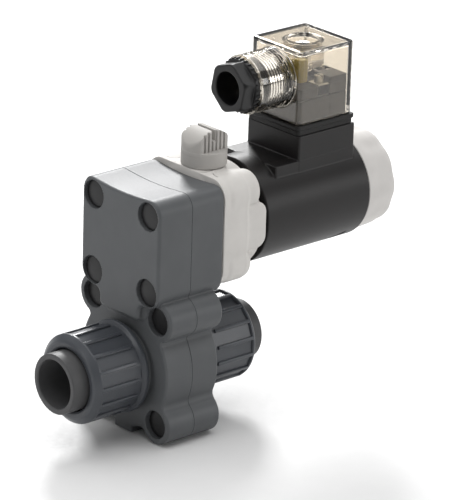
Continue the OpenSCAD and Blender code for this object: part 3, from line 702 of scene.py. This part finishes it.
def make_pipe_end(side, name, nut_name, end_body, nut_body, rib_angle):
    """An end connector and its union nut. side is -1 at the inlet and 1 at the outlet."""
    mouth = JOINT_X * (1 + side)
    outline = [(0, 10.35), (0, 12.0), (0.4, 12.4), (14.5, 12.4), (14.5, 14.9), (23, 14.9), (23, 7.5),
               (16, 7.5), (16, 10), (0.5, 10)]
    outline = soften(outline, [0.15, 0.3, 0.3, 0, 0.3, 0.3, 0.3, 0.3, 0.3, 0.2], 3)
    spun = [(mouth - side * along, radius) for along, radius in outline]
    connector = turned(name + "_spigot", spun, segments=128)
    settle(sharpened(connector), name, end_body)

    def nut_x(along):
        return JOINT_X + side * (NUT_S + along)

    def facets(along, radius, angle):
        """A flat between each two ribs, on the grip only."""
        if abs(radius - GRIP_R) > 0.01:
            return radius
        half_flat = math.pi / RIBS
        off = (angle - rib_angle) % (2 * half_flat) - half_flat
        return radius * math.cos(half_flat) / math.cos(off)

    outline = [(0, 16.6), (0, 18.4), (0.6, 19), (2.2, 19), (3.0, GRIP_R), (3.6, GRIP_R), (12, GRIP_R),
               (23.0, GRIP_R), (23.35, 18.35), (24.2, 18.35), (26.1, 16.2), (26.5, 15.2), (26.5, 13.8),
               (25.9, 12.9), (19.1, 12.9), (19.1, 16.6)]
    radii = [0.2, 0.4, 0.4, 0.6, 0.3, 0, 0, 0.1, 0.15, 1.6, 1.2, 0.8, 0.5, 0.4, 0.2, 0.2]
    outline = soften(outline, radii, 4)
    spun = [(nut_x(along), radius) for along, radius in outline]
    nut = sharpened(turned(nut_name + "_grip", spun, segments=192, swell=facets), 40)
    start, stop = RIB_SPAN
    rib = [(start, 17.0), (start, RIB_TOP_R), (stop, RIB_TOP_R), (stop, 17.0)]
    unit = bar("rib_unit", [(nut_x(along), z) for along, z in rib][::side], RIB_HALF, 0.3)
    ribbed = grown(nut, RING, unit, Count=RIBS, First_Angle=rib_angle, Material=NUT_PVC)
    settle(ribbed, nut_name, nut_body)


# ---------------------------------------------------------------- the bonnet and its knob
PLATE = (-BLOCK_HALF, BLOCK_HALF, 31.5, 76.1, 8)
CORNER_BOSSES = ((39.5, 32.8), (68.1, 36.6))  # the height and the far end of each
CORNER_BOSS_Y = 15.4
CORNER_BOSS_R = 8
PLATE_END = 30
HUB_R = 22.4
HUB_END = 38.5
HUB_RECESS_R = 19.4
HUB_RECESS_DEPTH = 4
BONNET_BORE_R = 10.3
BONNET_BORE_END = 34.6
TAB = (18, 40, 44.5, 64.0, 5.0)
STEM_S = 26
STEM_BORE_R = 3.05
TUBE_BORE_R = 7.6
KNOB_X = JOINT_X + STEM_S
KNOB_Z = 76.3
KNOB_R = 9.25
KNOB_HEIGHT = 15
KNOB_EDGE_HEIGHT = 9.2
KNOB_BASE_HEIGHT = 6.4
BLADE_HALF = 6.2
KNOB_GROOVES = 6
KNOB_GROOVE_PITCH = 2.0
SLOT_DEPTH = 4.4


def bonnet_field(x, y, z):
    """The plate behind the body, its corner bosses, the round hub and the tab, with their bores."""
    s = x - JOINT_X
    plate = meet(meet(rect(y, z, *PLATE), BLOCK_T + 0.05 - s, 0.35), s - PLATE_END, 1.2)
    for side in SIDES:
        for boss_z, boss_end in CORNER_BOSSES:
            boss = meet(disc(y, z, side * CORNER_BOSS_Y, boss_z, CORNER_BOSS_R), slab(s, 20, boss_end), 2.4)
            plate = join(plate, boss, 1.2)
    hub = meet(disc(y, z, 0, COIL_Z, HUB_R), slab(s, 18, HUB_END), 0.9)
    tab = meet(rect(s, z, *TAB), slab(y, -BLOCK_HALF + 0.3, BLOCK_HALF - 0.3), 1.2)
    body = join(join(plate, hub, 2.2), tab, 0.5)
    recess = np.maximum(disc(y, z, 0, COIL_Z, HUB_RECESS_R), HUB_END - HUB_RECESS_DEPTH - s)
    body = cut(body, recess, 0.4)
    body = cut(body, np.maximum(disc(y, z, 0, COIL_Z, BONNET_BORE_R), s - BONNET_BORE_END), 0.2)
    body = cut(body, disc(y, z, 0, COIL_Z, TUBE_BORE_R), 0.2)
    return cut(body, np.maximum(disc(s, y, STEM_S, 0, STEM_BORE_R), COIL_Z - z), 0.2)


def knob_field(x, y, z):
    """A round base, and on it a thick blade with an arched top, grooved sides and a slot."""
    up = z - KNOB_Z
    across, along = x - KNOB_X, y
    rise = KNOB_HEIGHT - KNOB_EDGE_HEIGHT
    arch_r = (KNOB_R ** 2 + rise ** 2) / (2 * rise)
    arch = disc(across, up, 0, KNOB_HEIGHT - arch_r, arch_r)
    body = meet(np.hypot(across, along) - KNOB_R, np.maximum(arch, -up), 0.5)
    lower = np.maximum(body, up - KNOB_BASE_HEIGHT)
    body = np.where(up > KNOB_BASE_HEIGHT - 0.1, meet(body, np.abs(along) - BLADE_HALF, 0.5), body)
    body = join(lower, meet(body, np.maximum(np.abs(along) - BLADE_HALF, 5 - up), 0.4), 0.3)
    for i in range(KNOB_GROOVES):
        middle = (i - (KNOB_GROOVES - 1) / 2) * KNOB_GROOVE_PITCH
        groove = np.maximum(np.abs(across - middle) - 0.42, 6.5 - up)
        groove = np.maximum(groove, 5.35 - np.abs(along))
        body = cut(body, groove, 0.2)
    slot = np.maximum(np.abs(across) - 0.8, KNOB_HEIGHT - SLOT_DEPTH - up)
    return cut(body, slot, 0.2)


def make_bonnet():
    """The bonnet and, on its stem, the override knob."""
    xs = planes(JOINT_X + 16.2, JOINT_X + 41, 0.5, (JOINT_X + 17, 0.5, 0.2))
    bonnet = skin("bonnet_moulding", bonnet_field, xs, planes(-24.2, 24.2, 0.5), planes(29.6, 77, 0.5))
    settle(bonnet, "bonnet", "valve")
    around = planes(-9.9, 9.9, 0.24)
    knob = skin("override_knob_grip", knob_field, KNOB_X + around, around, planes(75.8, 92, 0.26))
    settle(knob, "override_knob", "override")


# ---------------------------------------------------------------- the coil and its cap
COIL_R = 22.0
COIL_X = JOINT_X + 41.8
COIL_END = JOINT_X + 97.5
SADDLE_HALF = 15.5
SADDLE_X = JOINT_X + 50.7
RISER_X = JOINT_X + 62.9
SADDLE_END = JOINT_X + 93.5
SADDLE_TOP = 73.4
RISER_TOP = 83.6
PLUG_X = JOINT_X + 77.5
CORE_BORE_R = 7.7
WINDING_R = 18.6
WINDING_SPAN = (JOINT_X + 45.6, JOINT_X + 94)
COIL_RECESS_R = 14.5
COIL_RECESS_DEPTH = 1.2
BLADE_HOLE_HALF = 3.3
BLADE_Z = 76
SCREW_HOLE_R = 1.6
SCREW_HOLE_DEPTH = 8
CAP_END = JOINT_X + 113.7
CAP_R = 21.4
CAP_ROOT_R = 17
FLUTES = 10
FLUTE_DEPTH = 0.7
STUD_END = JOINT_X + 108.3
STUD_R = 5.1
BLADE_SPOTS = [(PLUG_X, -9.0), (PLUG_X, 9.0), (PLUG_X + 9.0, 0.0)]


def coil_field(x, y, z):
    """A barrel with a saddle and a riser for the plug, hollow for the winding, the core tube and
    the blades. The barrel's crown is cut flat in front of the riser, and a shallow slanting groove
    lies low on each side."""
    barrel = meet(disc(y, z, 0, COIL_Z, COIL_R), slab(x, COIL_X, COIL_END), 0.6)
    saddle = rect(x, y, SADDLE_X, SADDLE_END, -SADDLE_HALF, SADDLE_HALF, 0.7)
    saddle = meet(saddle, slab(z, COIL_Z, SADDLE_TOP), 0.5)
    riser = rect(x, y, RISER_X, SADDLE_END, -SADDLE_HALF, SADDLE_HALF, 0.9)
    riser = meet(riser, slab(z, COIL_Z, RISER_TOP), 0.5)
    flat = np.maximum(rect(x, y, SADDLE_X, RISER_X + 1, -SADDLE_HALF, SADDLE_HALF), SADDLE_TOP - z)
    body = join(cut(join(barrel, saddle, 0.5), flat, 0.2), riser, 0.5)
    body = cut(body, disc(y, z, 0, COIL_Z, CORE_BORE_R), 0.3)
    body = cut(body, np.maximum(disc(y, z, 0, COIL_Z, WINDING_R), slab(x, *WINDING_SPAN)), 0.2)
    recess = np.maximum(disc(y, z, 0, COIL_Z, COIL_RECESS_R), x - COIL_X - COIL_RECESS_DEPTH)
    body = cut(body, recess, 0.3)
    for spot in BLADE_SPOTS:
        body = cut(body, np.maximum(square(x, y, spot, BLADE_HOLE_HALF), BLADE_Z - z), 0.2)
    hole = np.maximum(disc(x, y, PLUG_X, 0, SCREW_HOLE_R), RISER_TOP - SCREW_HOLE_DEPTH - z)
    body = cut(body, hole, 0.2)
    groove = rect(x, z - 0.35 * (x - COIL_END), COIL_END - 15, COIL_END - 6, COIL_Z - 14.6, COIL_Z - 13.6)
    return cut(body, np.maximum(groove, COIL_R - 1 - np.hypot(y, z - COIL_Z)), 0.2)


def make_coil():
    xs = planes(COIL_X - 0.8, COIL_END + 0.8, 0.55)
    coil = skin("coil_moulding", coil_field, xs, planes(-22.8, 22.8, 0.5), planes(30.2, 84.4, 0.5))
    settle(coil, "coil_housing", "valve")


def make_cap():
    """The retaining cap, with shallow flutes that run out towards the coil, and a hollow for the
    core's stud."""
    start, end = COIL_END + 0.3, CAP_END
    shares = 14

    def flutes(x, radius, angle):
        """The flutes begin a little way along the side and fade out on the end face."""
        if radius < CAP_ROOT_R:
            return radius
        along = (x - start) / (end - start)
        depth = FLUTE_DEPTH * min(max((along - 0.12) / 0.3, 0), 1)
        wave = 0.5 + 0.5 * math.cos(FLUTES * angle)
        return radius - depth * wave ** 1.6 * (radius - CAP_ROOT_R) / (CAP_R - CAP_ROOT_R)

    steps = [(start + (end - start) * k / shares, CAP_R - 1.0 * k / shares) for k in range(1, 13)]
    outline = [(start, CORE_BORE_R), (start, 18), (start, 21.0), (start + 0.4, CAP_R)] + steps
    outline += [(end - 0.7, 20.0), (end - 0.15, 19.0), (end, 17.8), (end, 12), (end, 6), (end, 0.0)]
    outline += [(STUD_END, 0.0), (STUD_END, STUD_R), (start + 5, STUD_R), (start + 5, CORE_BORE_R)]
    cap = turned("retaining_cap_grip", outline, (0, 0, COIL_Z), segments=240, swell=flutes)
    settle(sharpened(cap, 40), "retaining_cap", "cap")


# ---------------------------------------------------------------- the plug
PLUG_HALF = 14.7
PLUG_FOOT = RISER_TOP + 4.3
PLUG_TOP = box_mm("plug_housing")[1][2]
WALL = 2.0
ENTRY_Z = 105.0
NECK_X = JOINT_X + 45.5
NECK_R = 12.2
NECK_BORE_R = 10.3
THREAD_PITCH = 1.4
THREAD_DEPTH = 0.62
GRIPS = 8
GRIP_PITCH = 3.1
RECESS_R = 6.6
RECESS_DEPTH = 4.5
CUP_R = 8.0
CUP_Z = 108.2
SCREW_BORE_R = 1.75
SCREW_BOSS_R = 3.4
BLOCK_TOP_Z = 104.8
BLOCK_LOW_Z = 102.2
BLOCK_WIDE = 12.4
CLAMP_Z = 97.6
LAMP_Z = (105.2, 114.6)
GLAND_X = JOINT_X + 37.4
HEX_END = JOINT_X + 43
HEX_CORNER_R = 11.0
CABLE_R = 6.8
COLLAR_R = 10.9
RIDGES = 30


def gasket_field(x, y, z):
    """A band with a lip that stands out under the plug, a well inside, and holes for the blades."""
    half = PLUG_HALF
    lip = rect(x, y, PLUG_X - half - 1.0, PLUG_X + half + 0.9, -half - 1.0, half + 1.0, 1.6)
    lip = meet(lip, slab(z, RISER_TOP + 2.3, RISER_TOP + 4.2), 0.45)
    band = rect(x, y, PLUG_X - half - 0.3, PLUG_X + half + 0.3, -half - 0.4, half + 0.4, 1.4)
    band = meet(band, slab(z, RISER_TOP + 0.05, RISER_TOP + 3.5), 0.3)
    body = join(lip, band, 0.5)
    body = cut(body, np.maximum(rect(x, y, PLUG_X - 13, PLUG_X + 13, -13, 13, 1), RISER_TOP + 1.5 - z), 0.3)
    for spot in BLADE_SPOTS + [(PLUG_X, 0.0)]:
        body = cut(body, square(x, y, spot, 3.7, 0.5), 0.2)
    return body


def housing_field(x, y, z):
    """A clear box on five sides with grips on its rear corners, its threaded neck, and the boss
    of the fixing screw."""
    u = x - PLUG_X
    centre = (0, 0)
    box = meet(square(u, y, centre, PLUG_HALF, 1.8), slab(z, PLUG_FOOT, PLUG_TOP), 0.9)
    for i in range(GRIPS):
        grip = disc(u - PLUG_HALF - 0.6, z, 0, PLUG_FOOT + 4.5 + i * GRIP_PITCH, 1.4)
        box = cut(box, np.maximum(grip, np.abs(y) * -1 + PLUG_HALF - 2.6), 0.25)
    radius = np.hypot(y, z - ENTRY_Z)
    turn = np.arctan2(y, z - ENTRY_Z) / (2 * math.pi)
    tooth = np.abs(((x - NECK_X) / THREAD_PITCH + turn) % 1.0 - 0.5) * 2
    threaded = np.clip(np.minimum(x - NECK_X - 3.0, PLUG_X - PLUG_HALF - 1.6 - x), 0, 1)
    thread = THREAD_DEPTH * threaded * np.clip(1.5 * tooth - 0.25, 0, 1)
    neck = meet(radius - NECK_R + thread, slab(x, NECK_X, PLUG_X - 12), 0.4)
    collar = meet(radius - NECK_R - 0.2, slab(x, PLUG_X - PLUG_HALF - 1.7, PLUG_X - 12), 0.4)
    body = join(join(box, collar, 0.8), neck, 0.2)
    inside = meet(square(u, y, centre, PLUG_HALF - WALL, 0.8), slab(z, PLUG_FOOT - 5, PLUG_TOP - WALL), 0.6)
    cup = meet(np.hypot(u, y) - CUP_R, CUP_Z - z, 0.5)
    boss = meet(np.hypot(u, y) - SCREW_BOSS_R, BLOCK_TOP_Z + 0.4 - z, 0.3)
    inside = cut(cut(inside, cup, 0.4), boss, 0.4)
    body = cut(body, inside, 0.3)
    body = cut(body, np.maximum(radius - NECK_BORE_R, x - PLUG_X + PLUG_HALF - WALL), 0.3)
    body = cut(body, np.maximum(np.hypot(u, y) - RECESS_R, PLUG_TOP - RECESS_DEPTH - z), 0.3)
    return cut(body, np.hypot(u, y) - SCREW_BORE_R, 0.2)


def terminal_field(x, y, z):
    """The nylon block that carries the clamps: a low front, and a raised rear third."""
    u = x - PLUG_X
    foot = RISER_TOP + 1.9
    low = meet(square(u, y, (0, 0), BLOCK_WIDE, 0.6), slab(z, foot, BLOCK_LOW_Z), 0.35)
    high = meet(rect(u, y, 3.2, BLOCK_WIDE, -BLOCK_WIDE, BLOCK_WIDE, 0.6), slab(z, foot, BLOCK_TOP_Z), 0.35)
    body = join(low, high, 0.2)
    body = cut(body, np.maximum(rect(u, y, -13, -4, -4.2, 4.2, 0.5), 98 - z), 0.3)
    line = np.abs(z - CLAMP_Z) + np.maximum(12.15 - np.maximum(np.abs(u), np.abs(y)), 0) * 3 - 0.28
    body = cut(cut(body, line, 0.1), np.hypot(u, y) - SCREW_BORE_R, 0.2)
    for spot in BLADE_SPOTS:
        body = cut(body, np.maximum(square(x, y, spot, 3.1), CLAMP_Z - 0.1 - z), 0.2)
    return body


def clamp_field(x, y, z):
    """One clamp: a square nut with a slotted screw, about the origin."""
    body = meet(rect(x, y, -3, 3, -3, 3, 0.4), slab(z, 0, 5), 0.3)
    screw = meet(np.hypot(x, y) - 1.95, slab(z, 1, 8), 0.3)
    return cut(join(body, screw, 0.1), np.maximum(np.abs(x) - 0.4, 7 - z), 0.1)


def indicator_field(x, y, z):
    """The indicator: an upright lamp at the corner of a small board, with four contact strips."""
    u = x - PLUG_X
    board = meet(rect(u, y, -12.2, -11.0, -12.2, -3.0, 0.3), slab(z, LAMP_Z[0], LAMP_Z[1] - 1), 0.2)
    lamp = meet(rect(u, y, -12.2, -8.9, -12.2, -8.9, 0.7), slab(z, *LAMP_Z), 0.5)
    strips = meet(rect(u, y, -11.4, -9.6, -8.2, -3.4, 0.3), np.abs((z - 106.6) % 2.0 - 1.0) - 0.45, 0.2)
    strips = np.maximum(strips, slab(z, 105.4, 113.4))
    return join(join(board, lamp, 0.2), strips, 0.2)


def screw_field(x, y, z):
    """The fixing screw, from its slotted head down into the coil."""
    head_z = PLUG_TOP - RECESS_DEPTH
    radius = np.hypot(x - PLUG_X, y)
    head = meet(radius - 3, slab(z, head_z + 0.1, head_z + 2.5), 0.4)
    shank = np.maximum(radius - 1.5, slab(z, RISER_TOP - 7, head_z + 1))
    return cut(join(head, shank), np.maximum(np.abs(x - PLUG_X) - 0.5, head_z + 1.5 - z), 0.12)


def gland_field(x, y, z):
    """A hexagon with turned corners, a round collar, a shank inside the neck, and the cable's bore."""
    across, up = y, z - ENTRY_Z
    radius = np.hypot(across, up)
    hexagon = polygon(up, across, 6, HEX_CORNER_R, math.radians(-12), 0.7)
    hexagon = meet(hexagon, slab(x, GLAND_X, HEX_END + 0.5), 0.6)
    hexagon = meet(hexagon, radius + 0.45 * (GLAND_X - x) - 10.2, 0.3)
    collar = meet(radius - COLLAR_R, slab(x, HEX_END, NECK_X - 0.2), 0.4)
    shank = meet(radius - 10.0, slab(x, HEX_END, HEX_END + 10), 0.3)
    body = join(join(hexagon, collar, 0.4), shank, 0.1)
    return cut(body, radius - CABLE_R, 0.5)


def make_plug():
    """The plug: gasket, clear housing, terminal block with clamps, indicator, screw and gland nut."""
    around = planes(-16.4, 16.4, 0.3)
    gasket = skin("plug_gasket_frame", gasket_field, PLUG_X + around, around, planes(83.2, 88.4, 0.24))
    settle(gasket, "plug_gasket", "plug")
    fine = ((NECK_X + 8.5, 9.5, 0.24), (PLUG_X + PLUG_HALF - 0.6, 1.5, 0.3))
    xs = planes(NECK_X - 0.6, PLUG_X + 15.4, 0.5, *fine)
    ys = planes(-15.4, 15.4, 0.45)
    zs = planes(PLUG_FOOT - 0.8, PLUG_TOP + 0.8, 0.42)
    housing = skin("plug_housing_moulding", housing_field, xs, ys, zs)
    settle(housing, "plug_housing", "plug")
    inner = planes(-13.2, 13.2, 0.36)
    block = skin("terminal_block_moulding", terminal_field, PLUG_X + inner, inner, planes(84.8, 105.6, 0.3))
    settle(block, "terminal_block", "plug")
    small = planes(-3.6, 3.6, 0.2)
    unit = skin("clamp_unit", clamp_field, small, small, planes(-0.6, 8.6, 0.25))
    places = points_at("terminal_clamp_screws", [(*spot, CLAMP_Z) for spot in BLADE_SPOTS])
    clamps = grown(places, PLACES, unit, Size=1.0, Material=TINNED)
    settle(clamps, "terminal_clamps", "plug")
    xs, ys = PLUG_X + planes(-12.8, -8.4, 0.26), planes(-12.8, -2.6, 0.26)
    lamp = skin("indicator_lamp", indicator_field, xs, ys, planes(104.6, 115.2, 0.26))
    settle(lamp, "indicator_board", "plug")
    near = planes(-3.6, 3.6, 0.22)
    screw = skin("fixing_screw_slotted", screw_field, PLUG_X + near, near, planes(76, PLUG_TOP - 1.4, 0.4))
    settle(screw, "fixing_screw", "fixing_screw")
    wide = planes(-11.8, 11.8, 0.34)
    xs = planes(GLAND_X - 0.6, HEX_END + 10.6, 0.34)
    nut = skin("gland_nut_moulding", gland_field, xs, wide, ENTRY_Z + wide)
    start, stop, root, top = HEX_END + 0.3, NECK_X - 0.35, COLLAR_R - 0.3, COLLAR_R + 0.55
    ridge = bar("ridge_unit", [(start, root), (start, top), (stop, top), (stop, root)], 0.42, 0.16, 2)
    ridged = grown(nut, RING, ridge, Count=RIDGES, First_Angle=0.05, Middle=(0, 0, ENTRY_Z * MM),
                   Material=GLAND_NYLON)
    settle(ridged, "gland_nut", "gland")


def make_spring():
    """The return spring: wire on a helix."""
    foot, head = JOINT_X + 52.58, JOINT_X + 65.1
    radius, wire, turns, lift = 2.9, 0.43, 8, 3.0
    steps, sides = 32, 10
    count = turns * steps
    pitch = (head - foot - 2 * wire) / turns
    points = []
    for i in range(count + 1):
        angle = 2 * math.pi * i / steps
        for j in range(sides):
            side = 2 * math.pi * j / sides
            reach = radius + wire * math.cos(side)
            along = foot + wire + pitch * i / steps + wire * math.sin(side)
            points.append((along * MM, reach * math.cos(angle) * MM, (COIL_Z + reach * math.sin(angle)) * MM))
    faces = [tuple(range(sides)), tuple(range(count * sides, (count + 1) * sides))[::-1]]
    for i in range(count):
        for j in range(sides):
            k = (j + 1) % sides
            faces.append((i * sides + j, (i + 1) * sides + j, (i + 1) * sides + k, i * sides + k))
    data = bpy.data.meshes.new("return_spring_wire")
    data.from_pydata(points, [], faces)
    spring = bpy.data.objects.new("return_spring_wire", data)
    bpy.context.scene.collection.objects.link(spring)
    settle(sharpened(tidy(spring), 60), "return_spring", "valve")
    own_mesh(spring)


make_body()
make_bolt_covers()
make_spring()
make_pipe_end(-1, "inlet_connector", "inlet_union_nut", "inlet_end", "inlet_nut", math.radians(90 - 1.5))
make_pipe_end(1, "outlet_connector", "outlet_union_nut", "outlet_end", "outlet_nut", math.radians(90 + 11))
make_bonnet()
make_coil()
make_cap()
make_plug()

# ---------------------------------------------------------------- camera and light

def aimed(piece, place, target, roll=0.0):
    """Puts a camera or a light at place, looking at target."""
    forward = (Vector(target) - Vector(place)).normalized()
    right = forward.cross(Vector((0, 0, 1))).normalized()
    up = right.cross(forward)
    tilted = right * math.cos(roll) + up * math.sin(roll)
    up = tilted.cross(forward)
    piece.matrix_world = Matrix((tilted, up, -forward)).transposed().to_4x4()
    piece.location = place
    return piece


def soft_light(name, place, target, size, power):
    """A white area light. size is in metres and power in watts."""
    data = bpy.data.lights.new(name, "AREA")
    data.shape = "RECTANGLE"
    data.size, data.size_y = size
    data.energy = power
    lamp = bpy.data.objects.new(name, data)
    bpy.context.scene.collection.objects.link(lamp)
    return aimed(lamp, Vector(place), Vector(target))


CAMERA_PLACE = (-0.9472, -1.1446, 0.6208)
CAMERA_TARGET = (0.08406, -0.00677, 0.03924)
CAMERA_ROLL = math.radians(1.80)
camera_data = bpy.data.cameras.new("camera")
camera_data.lens = 295.2
camera_data.sensor_width = 36
camera_data.clip_end = 20
camera = bpy.data.objects.new("camera", camera_data)
bpy.context.scene.collection.objects.link(camera)
aimed(camera, CAMERA_PLACE, CAMERA_TARGET, CAMERA_ROLL)
bpy.context.scene.camera = camera

FLOOR_Z = CAD_BOX[0][2] - 0.0002
FLOOR_HALF = 8
corners = [(a * FLOOR_HALF, b * FLOOR_HALF, FLOOR_Z) for a, b in ((-1, -1), (1, -1), (1, 1), (-1, 1))]
floor_data = bpy.data.meshes.new("floor")
floor_data.from_pydata(corners, [], [(0, 1, 2, 3)])
floor = bpy.data.objects.new("floor", floor_data)
bpy.context.scene.collection.objects.link(floor)
floor_data.materials.append(moulded("studio_floor_matt", "#e0e0e0", "#dedede", 0.6, grain_mm=2.0))

world = bpy.data.worlds.new("studio")
world.use_nodes = True
world.node_tree.nodes["Background"].inputs["Color"].default_value = linear("#ffffff")
world.node_tree.nodes["Background"].inputs["Strength"].default_value = 0.3
bpy.context.scene.world = world
bpy.context.scene.view_settings.view_transform = "Standard"

MIDDLE = (0.075, 0, 0.05)  # of the valve, where the side lights are aimed
soft_light("ceiling_softbox", (1.1, 1.2, 3.0), (1.1, 1.25, 0), (6.0, 6.0), 188)
soft_light("key_from_behind", (1.22, 1.60, 1.14), MIDDLE, (0.5, 0.5), 35)
soft_light("right_softbox", (1.3, -1.5, 0.5), MIDDLE, (0.8, 0.6), 7)
soft_light("left_softbox", (-1.9, 0.3, 0.9), MIDDLE, (0.8, 0.8), 7)
